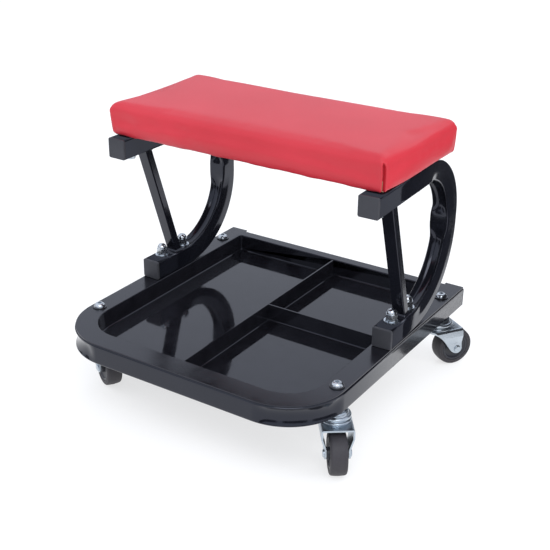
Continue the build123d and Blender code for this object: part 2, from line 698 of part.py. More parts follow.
def make_fork():
    """Pressed fork: flat crown with a raised race bead, two legs narrowing to the axle."""
    eye_r = 6.6
    leg_low_z = WHEEL_R - eye_r
    bead_r, bead_foot_r, bead_inner_r = 15.0, 17.0, 13.2
    blank = 40  # half length of each extrusion that the outlines are cut from
    half_in = FORK_TOP_HALF_W - SHEET
    axle_in = FORK_AXLE_HALF_W - SHEET
    outer = [
        (FORK_TOP_HALF_W, CROWN_Z),
        (FORK_TOP_HALF_W, 45),
        (FORK_AXLE_HALF_W, 33),
        (FORK_AXLE_HALF_W, leg_low_z - 1),
    ]
    inner = [
        (axle_in, leg_low_z - 1),
        (axle_in, 32.7),
        (half_in, 44.7),
        (half_in, CROWN_Z - SHEET),
    ]
    right_half = outer + inner
    left_half = [(-y, z) for y, z in reversed(right_half)]
    with BuildPart() as fork:
        # Front view: an inverted U, drawn across the trail direction.
        with BuildSketch(Plane.YZ):
            with BuildLine():
                Polyline(*right_half, *left_half, close=True)
            make_face()
        extrude(amount=blank, both=True)
        crown_edges = fork.edges().filter_by(Axis.X).group_by(Axis.Z)[-1]
        fillet(crown_edges, 3.0)
        # Side view: leading edge sweeps down to the axle, trailing edge nearly upright.
        with BuildSketch(Plane.XZ):
            with BuildLine():
                Polyline(
                    (28.4, WHEEL_R + 1.5),
                    (25.6, CROWN_Z + 1),
                    (-18.5, CROWN_Z + 1),
                    (-18.5, CROWN_Z - 2),
                )
                Spline(
                    (-18.5, CROWN_Z - 2),
                    (-10.5, 50.4),
                    (2.0, 38.0),
                    (11.0, 25.6),
                    (TRAIL - 2.5, WHEEL_R - 6.0),
                    tangents=((1, -0.1), (1, -0.35)),
                )
                ThreePointArc(
                    (TRAIL - 2.5, WHEEL_R - 6.0),
                    (TRAIL + eye_r * cos(radians(-50)), WHEEL_R + eye_r * sin(radians(-50))),
                    (28.4, WHEEL_R + 1.5),
                )
            make_face()
        extrude(amount=blank, both=True, mode=Mode.INTERSECT)
        # Plan view: the crown's leading corners are well rounded.
        with BuildSketch(Plane.XY) as plan:
            with Locations((6, 0)):
                Rectangle(49, 2 * FORK_TOP_HALF_W + 1)
            fillet(plan.vertices().group_by(Axis.X)[0], 9.0)
        extrude(amount=CASTER_H, mode=Mode.INTERSECT)
        with Locations((0, 0, CROWN_Z - SHEET)):
            Cylinder(bead_r, 3 * SHEET, mode=Mode.SUBTRACT)
        with BuildSketch(Plane.XZ):
            with BuildLine():
                Polyline(
                    (PIVOT_R + 0.06, BEAD_TOP_Z),
                    (bead_r, BEAD_TOP_Z),
                    (bead_foot_r, CROWN_Z),
                    (bead_foot_r, CROWN_Z - SHEET),
                    (bead_r, CROWN_Z - SHEET),
                    (bead_inner_r, BEAD_TOP_Z - SHEET),
                    (PIVOT_R + 0.06, BEAD_TOP_Z - SHEET),
                    close=True,
                )
            make_face()
        revolve(axis=Axis.Z)
        with BuildSketch(Plane.XZ):
            with Locations((BALL_RING_R, BALL_Z)):
                Circle(BALL_R + 0.25)
        revolve(axis=Axis.Z, mode=Mode.SUBTRACT)
        with Locations(Location((TRAIL, 0, WHEEL_R), (90, 0, 0))):
            Cylinder(AXLE_R + 0.02, 60, mode=Mode.SUBTRACT)
    return fork.part


def wheel_plane():
    """Plane through the wheel's axle for turned profiles: x is radius, y is along the axle."""
    return Plane(origin=(TRAIL, 0, WHEEL_R), x_dir=(1, 0, 0), z_dir=(0, 0, 1))


WHEEL_AXIS = Axis((TRAIL, 0, WHEEL_R), (0, 1, 0))
HUB_RIM_R = 18.0


def make_hub():
    """Moulded wheel centre: boss, web with ribs, and rim."""
    boss_half = FORK_AXLE_HALF_W - SHEET - 0.35
    bore = SLEEVE_R + 0.06
    with BuildPart() as hub:
        with BuildSketch(wheel_plane()):
            with BuildLine():
                Polyline(
                    (bore, 0),
                    (bore, boss_half),
                    (6.8, boss_half),
                    (7.4, 3.0),
                    (14.8, 3.0),
                    (15.4, 8.6),
                    (HUB_RIM_R, 8.6),
                    (HUB_RIM_R, 0),
                    close=True,
                )
            make_face()
        revolve(axis=WHEEL_AXIS)
        with BuildSketch(Plane(origin=(TRAIL, 0, WHEEL_R), x_dir=(1, 0, 0), z_dir=(0, 1, 0))):
            with PolarLocations(11.0, 6):
                Rectangle(8.4, 1.8)
        extrude(amount=7.4)
        mirror(hub.part, about=Plane.XZ)
    return hub.part


def make_tyre():
    """Solid tyre with a slightly crowned tread."""
    half = WHEEL_W / 2
    shoulder_r = WHEEL_R - 3.2
    round_r = WHEEL_R - 1.4
    tread_r = WHEEL_R - 0.5
    tread_half = half - 2.4
    with BuildPart() as tyre:
        with BuildSketch(wheel_plane()):
            with BuildLine():
                Line((HUB_RIM_R, -half + 0.8), (HUB_RIM_R, half - 0.8))
                Line((HUB_RIM_R, half - 0.8), (HUB_RIM_R + 0.8, half))
                Line((HUB_RIM_R + 0.8, half), (shoulder_r, half))
                ThreePointArc((shoulder_r, half), (round_r, half - 0.7), (tread_r, tread_half))
                ThreePointArc((tread_r, tread_half), (WHEEL_R, 0), (tread_r, -tread_half))
                ThreePointArc((tread_r, -tread_half), (round_r, -half + 0.7), (shoulder_r, -half))
                Line((shoulder_r, -half), (HUB_RIM_R + 0.8, -half))
                Line((HUB_RIM_R + 0.8, -half), (HUB_RIM_R, -half + 0.8))
            make_face()
        revolve(axis=WHEEL_AXIS)
    return tyre.part


def make_axle():
    """Riveted axle pin with a domed head each side."""
    head_h = 1.8
    half = FORK_AXLE_HALF_W
    with BuildPart() as axle:
        with Locations(Location((TRAIL, 0, WHEEL_R), (90, 0, 0))):
            Cylinder(AXLE_R, 2 * half)
            with Locations((0, 0, half + head_h / 2), (0, 0, -half - head_h / 2)):
                Cylinder(AXLE_R + 1.6, head_h)
        rims = axle.edges().filter_by(GeomType.CIRCLE).group_by(Axis.Y)
        fillet(rims[0] + rims[-1], head_h - 0.4)
    return axle.part


def make_axle_sleeve():
    """Spacer tube between the legs, which the wheel turns on."""
    half = FORK_AXLE_HALF_W - SHEET
    with BuildPart() as sleeve:
        with BuildSketch(Plane(origin=(TRAIL, 0, WHEEL_R), x_dir=(1, 0, 0), z_dir=(0, 1, 0))):
            Circle(SLEEVE_R)
            Circle(AXLE_R + 0.05, mode=Mode.SUBTRACT)
        extrude(amount=half, both=True)
    return sleeve.part


def make_casters():
    """The same pieces for each caster, turned to its own trail direction."""
    pieces = {
        "race_cup": make_race_cup(),
        "ball_ring": make_ball_ring(),
        "fork": make_fork(),
        "wheel_hub": make_hub(),
        "wheel_tyre": make_tyre(),
        "axle": make_axle(),
        "axle_sleeve": make_axle_sleeve(),
    }
    for name in CASTERS:
        for piece, shape in pieces.items():
            with BuildPart() as placed:
                with Locations(caster_place(name)):
                    add(shape)
            save(placed, f"{name}_{piece}")


def make_welds():
    """Weld beads of both arms, in one group."""
    right = make_brace_welds()
    with BuildPart() as welds:
        add(right)
        mirror(right, about=Plane.YZ)
    save(welds, "brace_welds")


make_base_tube()
save_pair(make_base_cap, "base_cap")
make_tool_tray()
save_pair(make_arm_upper_tube, "arm_upper_tube")
save_pair(make_arm_lower_tube, "arm_lower_tube")
save_pair(make_upper_cap, "upper_cap")
save_pair(make_lower_cap, "lower_cap")
save_pair(make_brace, "brace")
make_welds()
make_seat()
make_frame_fasteners()
make_seat_fasteners()
make_caster_fasteners()
make_casters()
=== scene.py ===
"""Looks for the creeper seat: studio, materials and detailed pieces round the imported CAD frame."""
import json
import math

import bmesh
import bpy
from mathutils import Matrix, Vector

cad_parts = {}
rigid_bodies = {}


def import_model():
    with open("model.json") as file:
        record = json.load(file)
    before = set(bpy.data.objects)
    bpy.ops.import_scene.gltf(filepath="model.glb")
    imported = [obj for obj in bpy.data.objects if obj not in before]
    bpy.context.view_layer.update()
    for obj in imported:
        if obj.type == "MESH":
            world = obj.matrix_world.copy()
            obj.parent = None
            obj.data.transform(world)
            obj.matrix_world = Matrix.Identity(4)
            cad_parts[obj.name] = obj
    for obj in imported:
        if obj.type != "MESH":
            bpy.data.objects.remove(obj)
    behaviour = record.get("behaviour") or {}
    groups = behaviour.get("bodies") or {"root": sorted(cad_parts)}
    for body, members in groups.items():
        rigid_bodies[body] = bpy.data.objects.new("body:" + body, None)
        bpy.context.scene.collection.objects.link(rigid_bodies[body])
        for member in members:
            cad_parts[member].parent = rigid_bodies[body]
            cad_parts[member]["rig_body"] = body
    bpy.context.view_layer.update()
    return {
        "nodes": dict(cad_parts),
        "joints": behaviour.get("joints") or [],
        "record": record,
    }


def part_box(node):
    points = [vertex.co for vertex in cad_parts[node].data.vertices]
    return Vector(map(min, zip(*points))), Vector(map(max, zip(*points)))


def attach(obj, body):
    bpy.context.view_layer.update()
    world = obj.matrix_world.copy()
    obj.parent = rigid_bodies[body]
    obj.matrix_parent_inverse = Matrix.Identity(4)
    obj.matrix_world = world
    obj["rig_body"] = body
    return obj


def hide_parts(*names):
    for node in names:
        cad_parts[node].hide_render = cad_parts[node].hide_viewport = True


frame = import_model()
NODES = frame["nodes"]
SIDES = ("right", "left")
CASTERS = ("front_right", "front_left", "rear_right", "rear_left")


# ---- camera and studio ------------------------------------------------------------------------------
def make_camera():
    """Camera at the photograph's viewing angle."""
    azimuth, elevation, distance = math.radians(34.22), math.radians(25.78), 1.2807
    aim = Vector((-0.0001, -0.0373, 0.1368))
    back = Vector(
        (
            math.sin(azimuth) * math.cos(elevation),
            -math.cos(azimuth) * math.cos(elevation),
            math.sin(elevation),
        )
    )
    data = bpy.data.cameras.new("camera")
    data.lens = 69.66
    data.sensor_width = 36.0
    data.shift_x = 0.0497
    data.shift_y = 0.0251
    data.clip_start = 0.05
    data.clip_end = 50
    camera = bpy.data.objects.new("camera", data)
    bpy.context.scene.collection.objects.link(camera)
    camera.location = aim + back * distance
    camera.rotation_mode = "QUATERNION"
    camera.rotation_quaternion = (-back).to_track_quat("-Z", "Y")
    bpy.context.scene.camera = camera


def area_light(name, place, aim, size, power, reflected=True):
    data = bpy.data.lights.new(name, "AREA")
    data.shape = "RECTANGLE"
    data.size, data.size_y = size
    data.energy = power
    light = bpy.data.objects.new(name, data)
    bpy.context.scene.collection.objects.link(light)
    light.location = place
    light.rotation_mode = "QUATERNION"
    light.rotation_quaternion = (Vector(aim) - Vector(place)).to_track_quat("-Z", "Y")
    light.visible_glossy = reflected


HORIZON_CARDS = 8
HORIZON_FAR = 1.7


def make_card(name, place, turn, width, height, shade):
    """Upright studio card, seen only in reflections; place is the middle of its lower edge."""
    bpy.ops.mesh.primitive_plane_add(size=1, location=Vector(place) + Vector((0, 0, height / 2)))
    card = bpy.context.object
    card.name = name
    card.scale = (width, height, 1)
    card.rotation_euler = (math.radians(90), 0, math.radians(turn))
    card.data.materials.append(plain_material(name, shade, 1.0))
    card.visible_camera = False
    card.visible_shadow = False
    card.visible_diffuse = False


def make_cards():
    """A dark card beside the right arm, and low dark cards far off all round, which give gloss its shape."""
    make_card("side_card", (0.30, 0.55, 0.004), 90, 1.1, 0.52, (0.012, 0.012, 0.016))
    for number in range(HORIZON_CARDS):
        turn = 360 * number / HORIZON_CARDS
        away = Vector((math.sin(math.radians(turn)), -math.cos(math.radians(turn)), 0))
        make_card(f"horizon_card_{number}", away * HORIZON_FAR, turn, 1.1, 0.42, (0.03, 0.03, 0.036))


def make_studio():
    """Plain pale floor under a bright, even world with four soft boxes."""
    world = bpy.data.worlds.new("studio")
    world.use_nodes = True
    background = world.node_tree.nodes["Background"]
    background.inputs["Color"].default_value = (0.90, 0.95, 1.06, 1)
    background.inputs["Strength"].default_value = 1.0
    bpy.context.scene.world = world
    bpy.ops.mesh.primitive_plane_add(size=30, location=(0, 0, 0))
    floor = bpy.context.object
    floor.name = "floor"
    paper = plain_material("floor", (0.36, 0.36, 0.36), 0.9, Specular_IOR_Level=0.0, Emission_Strength=0.66)
    paper.node_tree.nodes["Principled BSDF"].inputs["Emission Color"].default_value = (1, 1, 1, 1)
    floor.data.materials.append(paper)
    area_light("key", (1.0, -1.4, 2.2), (0, 0, 0.15), (1.6, 1.6), 22)
    area_light("fill", (-2.0, -0.8, 1.2), (0, 0, 0.1), (1.4, 1.8), 14, False)
    area_light("rim", (0.3, 2.2, 1.5), (0, 0, 0.2), (2.4, 1.0), 16, False)
    area_light("side", (2.0, 0.1, 0.7), (0.18, 0.03, 0.32), (0.9, 0.6), 14, False)
    make_cards()
    bpy.context.scene.view_settings.view_transform = "Standard"


# ---- materials --------------------------------------------------------------------------------------
def plain_material(name, color, roughness, **sockets):
    material = bpy.data.materials.new(name)
    material.use_nodes = True
    shader = material.node_tree.nodes["Principled BSDF"]
    shader.inputs["Base Color"].default_value = (*color, 1)
    shader.inputs["Roughness"].default_value = roughness
    for socket, value in sockets.items():
        shader.inputs[socket.replace("_", " ")].default_value = value
    return material


def add_noise(tree, scale, detail=3.0, stretch=(1, 1, 1)):
    """Noise in the object's own coordinates, in metres."""
    place = tree.nodes.new("ShaderNodeTexCoord")
    mapping = tree.nodes.new("ShaderNodeMapping")
    mapping.inputs["Scale"].default_value = stretch
    noise = tree.nodes.new("ShaderNodeTexNoise")
    noise.inputs["Scale"].default_value = scale
    noise.inputs["Detail"].default_value = detail
    tree.links.new(place.outputs["Object"], mapping.inputs["Vector"])
    tree.links.new(mapping.outputs["Vector"], noise.inputs["Vector"])
    return noise.outputs["Fac"]


def ramp(tree, value, low, high, a, b):
    """Value mapped from a at low to b at high."""
    node = tree.nodes.new("ShaderNodeMapRange")
    for socket, number in (("From Min", low), ("From Max", high), ("To Min", a), ("To Max", b)):
        node.inputs[socket].default_value = number
    tree.links.new(value, node.inputs["Value"])
    return node.outputs["Result"]


def mix_colors(tree, factor, first, second):
    node = tree.nodes.new("ShaderNodeMix")
    node.data_type = "RGBA"
    node.inputs["A"].default_value = (*first, 1)
    node.inputs["B"].default_value = (*second, 1)
    tree.links.new(factor, node.inputs["Factor"])
    return node.outputs["Result"]


def add_bump(tree, height, strength, distance, under=None):
    node = tree.nodes.new("ShaderNodeBump")
    node.inputs["Strength"].default_value = strength
    node.inputs["Distance"].default_value = distance
    tree.links.new(height, node.inputs["Height"])
    if under is not None:
        tree.links.new(under, node.inputs["Normal"])
    return node.outputs["Normal"]


def finish_material(name, colors, rough, grain, bump, **sockets):
    """Surface whose colour and roughness drift a little, with fine grain in its bump.

    colors and rough are (low, high); grain is (scale, detail, stretch); bump is (strength, distance in m).
    """
    material = plain_material(name, colors[0], rough[0], **sockets)
    tree = material.node_tree
    shader = tree.nodes["Principled BSDF"]
    drift = add_noise(tree, 18.0)
    fine = add_noise(tree, *grain)
    tree.links.new(mix_colors(tree, ramp(tree, drift, 0.3, 0.7, 0, 1), *colors), shader.inputs["Base Color"])
    tree.links.new(ramp(tree, fine, 0.3, 0.7, *rough), shader.inputs["Roughness"])
    tree.links.new(add_bump(tree, fine, *bump), shader.inputs["Normal"])
    return material


def make_vinyl():
    """Red upholstery vinyl: leather-like pebble grain with fine pores, satin sheen."""
    material = plain_material("red_vinyl", (0.54, 0.027, 0.042), 0.4, Specular_IOR_Level=0.38)
    tree = material.node_tree
    shader = tree.nodes["Principled BSDF"]
    place = tree.nodes.new("ShaderNodeTexCoord")
    cells = tree.nodes.new("ShaderNodeTexVoronoi")
    cells.feature = "DISTANCE_TO_EDGE"
    cells.inputs["Scale"].default_value = 900
    tree.links.new(place.outputs["Object"], cells.inputs["Vector"])
    pebble = ramp(tree, cells.outputs["Distance"], 0.0, 0.25, 0, 1)
    pores = add_noise(tree, 2600, 2)
    drift = add_noise(tree, 9.0, 4)
    tree.links.new(
        mix_colors(tree, ramp(tree, drift, 0.3, 0.7, 0, 1), (0.49, 0.023, 0.036), (0.55, 0.030, 0.046)),
        shader.inputs["Base Color"],
    )
    tree.links.new(ramp(tree, pores, 0.3, 0.7, 0.36, 0.5), shader.inputs["Roughness"])
    grain = add_bump(tree, pebble, 0.25, 0.0001)
    tree.links.new(add_bump(tree, pores, 0.15, 0.00006, grain), shader.inputs["Normal"])
    return material


COOL = (0.80, 0.84, 1.0, 1)  # the blacks' reflections lean to blue
RIM_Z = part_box("tool_tray")[1].z
FLANGE_FROM, FLANGE_FULL = RIM_Z - 0.0012, RIM_Z - 0.0004  # where the duller finish sets in


def make_tray_plastic():
    """Black moulded plastic: mirror-like floor and walls, duller on the flange that hands rest on."""
    material = plain_material("tray_plastic", (0.008, 0.008, 0.011), 0.07, Specular_Tint=COOL)
    tree = material.node_tree
    shader = tree.nodes["Principled BSDF"]
    place = tree.nodes.new("ShaderNodeTexCoord")
    split = tree.nodes.new("ShaderNodeSeparateXYZ")
    tree.links.new(place.outputs["Object"], split.inputs["Vector"])
    wear = add_noise(tree, 60, 4)
    fine = add_noise(tree, 160, 2)
    on_flange = ramp(tree, split.outputs["Z"], FLANGE_FROM, FLANGE_FULL, 0, 1)
    dull = ramp(tree, wear, 0.3, 0.7, 0.17, 0.27)
    clear = ramp(tree, wear, 0.3, 0.7, 0.04, 0.08)
    rough = tree.nodes.new("ShaderNodeMix")
    tree.links.new(on_flange, rough.inputs["Factor"])
    tree.links.new(clear, rough.inputs["A"])
    tree.links.new(dull, rough.inputs["B"])
    tree.links.new(rough.outputs["Result"], shader.inputs["Roughness"])
    tree.links.new(
        mix_colors(tree, ramp(tree, wear, 0.3, 0.7, 0, 1), (0.006, 0.006, 0.008), (0.010, 0.010, 0.013)),
        shader.inputs["Base Color"],
    )
    tree.links.new(add_bump(tree, fine, 0.05, 0.0003), shader.inputs["Normal"])
    return material


def make_materials():
    """One material for each slot of the record."""
    even = (1, 1, 1)
    brushed = (1, 1, 14)
    return {
        "black_paint": finish_material(
            "black_paint", ((0.005, 0.0055, 0.008), (0.008, 0.0085, 0.012)), (0.10, 0.17), (260, 2, even),
            (0.10, 0.0003), Specular_Tint=COOL,
        ),
        "tray_plastic": make_tray_plastic(),
        "cap_plastic": finish_material(
            "cap_plastic", ((0.030, 0.030, 0.033), (0.042, 0.042, 0.046)), (0.5, 0.65), (1400, 3, even),
            (0.3, 0.0001), Specular_Tint=COOL,
        ),
        "red_vinyl": make_vinyl(),
        "foam": finish_material(
            "foam", ((0.70, 0.66, 0.50), (0.78, 0.74, 0.60)), (0.9, 1.0), (900, 4, even), (0.6, 0.0003)
        ),
        "board": finish_material(
            "board", ((0.36, 0.24, 0.14), (0.52, 0.37, 0.23)), (0.7, 0.85), (160, 4, (1, 9, 9)),
            (0.3, 0.0002),
        ),
        "black_cloth": finish_material(
            "black_cloth", ((0.012, 0.012, 0.012), (0.022, 0.022, 0.022)), (0.85, 0.95), (2200, 2, even),
            (0.5, 0.0001),
        ),
        "zinc_sheet": finish_material(
            "zinc_sheet", ((0.44, 0.50, 0.56), (0.56, 0.61, 0.66)), (0.24, 0.38), (150, 4, brushed),
            (0.10, 0.0001), Metallic=1.0,
        ),
        "zinc_hardware": finish_material(
            "zinc_hardware", ((0.52, 0.57, 0.62), (0.66, 0.70, 0.74)), (0.22, 0.36), (500, 3, even),
            (0.12, 0.00008), Metallic=1.0,
        ),
        "nickel": finish_material(
            "nickel", ((0.50, 0.54, 0.58), (0.64, 0.67, 0.70)), (0.18, 0.30), (500, 3, even),
            (0.08, 0.00008), Metallic=1.0,
        ),
        "dark_steel": finish_material(
            "dark_steel", ((0.10, 0.10, 0.11), (0.16, 0.16, 0.17)), (0.3, 0.45), (500, 3, even),
            (0.1, 0.00008), Metallic=1.0,
        ),
        "bearing_steel": finish_material(
            "bearing_steel", ((0.66, 0.67, 0.69), (0.74, 0.75, 0.77)), (0.10, 0.20), (500, 3, even),
            (0.05, 0.00005), Metallic=1.0,
        ),
        "hub_plastic": finish_material(
            "hub_plastic", ((0.018, 0.019, 0.026), (0.027, 0.028, 0.037)), (0.35, 0.5), (900, 3, even),
            (0.15, 0.0001),
        ),
        "tyre": finish_material(
            "tyre", ((0.022, 0.020, 0.024), (0.036, 0.033, 0.039)), (0.5, 0.68), (1200, 4, even),
            (0.3, 0.00015),
        ),
    }


MATERIALS = make_materials()


def paint_cad_nodes():
    slots = {row["node"]: row["material_slot"] for row in frame["record"]["subparts"]}
    for node, thing in NODES.items():
        thing.data.materials.clear()
        thing.data.materials.append(MATERIALS[slots[node]])


# ---- pieces made from a CAD node's shape ------------------------------------------------------------
def welded_copy(node):
    """A bmesh of the CAD node's shape, with its triangles joined into whole faces."""
    shape = bmesh.new()
    shape.from_mesh(NODES[node].data)
    bmesh.ops.remove_doubles(shape, verts=shape.verts, dist=1e-6)
    bmesh.ops.dissolve_limit(
        shape, angle_limit=math.radians(1.0), verts=shape.verts, edges=shape.edges
    )
    return shape


def rounded_piece(shape, node, slot, radius, segments=2, angle=28):
    """The piece made from shape, with its sharp edges rounded; it stands for the node."""
    mesh = bpy.data.meshes.new(node + "_rounded")
    shape.to_mesh(mesh)
    shape.free()
    mesh.materials.append(MATERIALS[slot])
    mesh.shade_smooth()
    piece = bpy.data.objects.new(node + "_rounded", mesh)
    bpy.context.scene.collection.objects.link(piece)
    bevel = piece.modifiers.new("rounding", "BEVEL")
    bevel.width = radius
    bevel.segments = segments
    bevel.limit_method = "ANGLE"
    bevel.angle_limit = math.radians(angle)
    bevel.use_clamp_overlap = True
    piece.modifiers.new("shading", "WEIGHTED_NORMAL").keep_sharp = False
    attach(piece, NODES[node]["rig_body"])
    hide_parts(node)


TRAY_FLOOR_Z = RIM_Z - 0.022
TRAY_INNER_HALF_X = 0.1572
TRAY_INNER_Y = (-0.1660, 0.1740)
INNER_RIM_R = 0.0013
FLOOR_FILLET_R = 0.0022


def make_tray():
    """The tray, with a rounded inner rim and a fillet all round the floor and the dividers' feet."""
    shape = welded_copy("tool_tray")

    def level_edges(z):
        """Creased edges at height z, inside the tray's opening."""
        found = []
        for edge in shape.edges:
            ends = [v.co for v in edge.verts]
            inside = all(
                abs(p.z - z) < 1e-5
                and abs(p.x) < TRAY_INNER_HALF_X
                and TRAY_INNER_Y[0] < p.y < TRAY_INNER_Y[1]
                for p in ends
            )
            if inside and len(edge.link_faces) == 2 and edge.calc_face_angle(0) > math.radians(40):
                found.append(edge)
        return found

    for z, radius in ((TRAY_FLOOR_Z, FLOOR_FILLET_R), (RIM_Z, INNER_RIM_R)):
        bmesh.ops.bevel(
            shape, geom=level_edges(z), offset=radius, segments=4, profile=0.5, affect="EDGES",
            clamp_overlap=False,
        )
    rounded_piece(shape, "tool_tray", "tray_plastic", 0.0004, 2)


def make_caps():
    for side in SIDES:
        for cap in ("base_cap", "upper_cap", "lower_cap"):
            node = f"{side}_{cap}"
            rounded_piece(welded_copy(node), node, "cap_plastic", 0.0012, 3)


# ---- bent square tubes ------------------------------------------------------------------------------
TUBE_HALF = 0.0125
TUBE_CORNER = 0.0024
SIDE_STEPS = 10
CORNER_STEPS = 5
BEND_STEPS = 30
RAMP = 0.16  # share of a bend over which the dent grows from nothing
DISH_REACH = 0.86  # share of a wall that the dish covers
DISH_POWER = 0.7  # below 1 flattens the bottom of the dish


def square_section(pinch, dish_in, dish_out):
    """Closed outline of the tube as (across, outward) points, dented as a bend dents it.

    pinch narrows the flat sides towards the inside of the bend; the dishes hollow the inner and outer wall.
    """
    flat = TUBE_HALF - TUBE_CORNER
    points = []
    for quarter in range(4):
        turn = Matrix.Rotation(math.radians(90 * quarter), 2)
        for step in range(SIDE_STEPS):
            points.append(turn @ Vector((flat * (2 * step / SIDE_STEPS - 1), -TUBE_HALF)))
        for step in range(CORNER_STEPS):
            angle = math.radians(-90 + 90 * step / CORNER_STEPS)
            corner = Vector((flat + TUBE_CORNER * math.cos(angle), -flat + TUBE_CORNER * math.sin(angle)))
            points.append(turn @ corner)
    shaped = []
    for point in points:
        across, outward = point
        share = abs(across) / TUBE_HALF
        hollow = max(0.0, math.cos(math.pi / 2 * min(1.0, share / DISH_REACH)))
        if outward < -flat:
            outward += dish_in * hollow ** DISH_POWER
        elif outward > flat:
            outward -= dish_out * hollow ** DISH_POWER
        inner_share = max(0.0, -outward / TUBE_HALF)
        across *= 1 - pinch * inner_share / TUBE_HALF
        shaped.append((across, outward))
    return shaped


def bent_path(corners, radii):
    """Stations along a flat polyline with rounded corners: (point, tangent, outward, dent 0 to 1)."""
    stations = []
    count = len(corners)
    corners = [Vector(c) for c in corners]

    def station(point, tangent, outward, dent):
        stations.append((point.copy(), tangent.copy(), outward, dent))

    station(corners[0], (corners[1] - corners[0]).normalized(), None, 0.0)
    for i in range(1, count - 1):
        into = (corners[i] - corners[i - 1]).normalized()
        out = (corners[i + 1] - corners[i]).normalized()
        angle = into.angle(out)
        reach = radii[i - 1] * math.tan(angle / 2)
        start = corners[i] - into * reach
        turn_sign = 1 if into.x * out.y - into.y * out.x > 0 else -1
        inward = Vector((-into.y, into.x)) * turn_sign
        centre = start + inward * radii[i - 1]
        for step in range(BEND_STEPS + 1):
            share = step / BEND_STEPS
            swing = Matrix.Rotation(turn_sign * angle * share, 2)
            point = centre + swing @ (start - centre)
            tangent = swing @ into
            edge = min(1.0, min(share, 1 - share) / RAMP)
            station(point, tangent, turn_sign, edge * edge * (3 - 2 * edge))
    station(corners[-1], (corners[-1] - corners[-2]).normalized(), None, 0.0)
    return stations


def tube_piece(name, nodes, stations, place, dent):
    """Mesh swept along stations. place(point) and place(vector, True) take the path's plane to the frame.

    dent is (pinch, dish of the inner wall, dish of the outer wall), in metres, at the middle of a bend.
    """
    shape = bmesh.new()
    normal = place(Vector((0, 0, 1)), True)
    sign = next(s[2] for s in stations if s[2] is not None)
    loops = []
    for point, tangent, turn_sign, amount in stations:
        bend = turn_sign if turn_sign is not None else sign
        outward = place(Vector((tangent.y, -tangent.x, 0)) * bend, True)
        centre = place(Vector((point.x, point.y, 0)), False)
        section = square_section(*(amount * size for size in dent))
        loops.append([shape.verts.new(centre + normal * u + outward * v) for u, v in section])
    for a, b in zip(loops, loops[1:]):
        for k in range(len(a)):
            shape.faces.new((a[k], a[(k + 1) % len(a)], b[(k + 1) % len(a)], b[k]))
    for loop in (loops[0], loops[-1]):
        shape.faces.new(loop)
    bmesh.ops.recalc_face_normals(shape, faces=shape.faces)
    mesh = bpy.data.meshes.new(name)
    shape.to_mesh(mesh)
    shape.free()
    mesh.materials.append(MATERIALS["black_paint"])
    mesh.shade_smooth()
    piece = bpy.data.objects.new(name, mesh)
    bpy.context.scene.collection.objects.link(piece)
    piece.modifiers.new("shading", "WEIGHTED_NORMAL").keep_sharp = False
    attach(piece, "frame")
    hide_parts(*nodes)


ARM_X, ARM_TOE = 0.1695, math.radians(1.5)
ARM_BACK_Y = 0.1434
LOWER_LEG_Z, UPPER_LEG_Z = 0.1095, 0.2885
ARM_ENDS_Y = (-0.0639, -0.0108)  # tube ends behind the upper and lower caps
ARM_BENDS = (0.076, 0.092)
ARM_DENT = (0.0028, 0.0048, 0.0012)


def make_arms():
    """C-shaped arms whose bends are dished on the inside, as a pressed bend is."""
    path = bent_path(
        [
            (ARM_ENDS_Y[0], UPPER_LEG_Z),
            (ARM_BACK_Y, UPPER_LEG_Z),
            (ARM_BACK_Y, LOWER_LEG_Z),
            (ARM_ENDS_Y[1], LOWER_LEG_Z),
        ],
        ARM_BENDS,
    )
    for side, sign in (("right", 1), ("left", -1)):

        def place(v, is_direction, sign=sign):
            x = -v.x * math.sin(ARM_TOE) + v.z * math.cos(ARM_TOE)
            y = v.x * math.cos(ARM_TOE) + v.z * math.sin(ARM_TOE)
            if not is_direction:
                x += ARM_X
            return Vector((sign * x, y, v.y))

        halves = (f"{side}_arm_upper_tube", f"{side}_arm_lower_tube")
        tube_piece(f"{side}_arm_bent", halves, path, place, ARM_DENT)


BASE_X, BASE_Z = 0.170, 0.083
BASE_FRONT_Y, BASE_END_Y = -0.180, 0.1895
BASE_BEND_R = 0.061
BASE_DENT = (0.0, 0.0018, 0.0034)


def make_base():
    """U-shaped base tube whose front corners are dished on the outside."""
    path = bent_path(
        [(BASE_X, BASE_END_Y), (BASE_X, BASE_FRONT_Y), (-BASE_X, BASE_FRONT_Y), (-BASE_X, BASE_END_Y)],
        (BASE_BEND_R, BASE_BEND_R),
    )

    def place(v, is_direction):
        return Vector((v.x, v.y, v.z if is_direction else BASE_Z))

    tube_piece("base_bent", ("base_tube",), path, place, BASE_DENT)


# ---- casters ----------------------------------------------------------------------------------------
LATHE_STEPS = 72


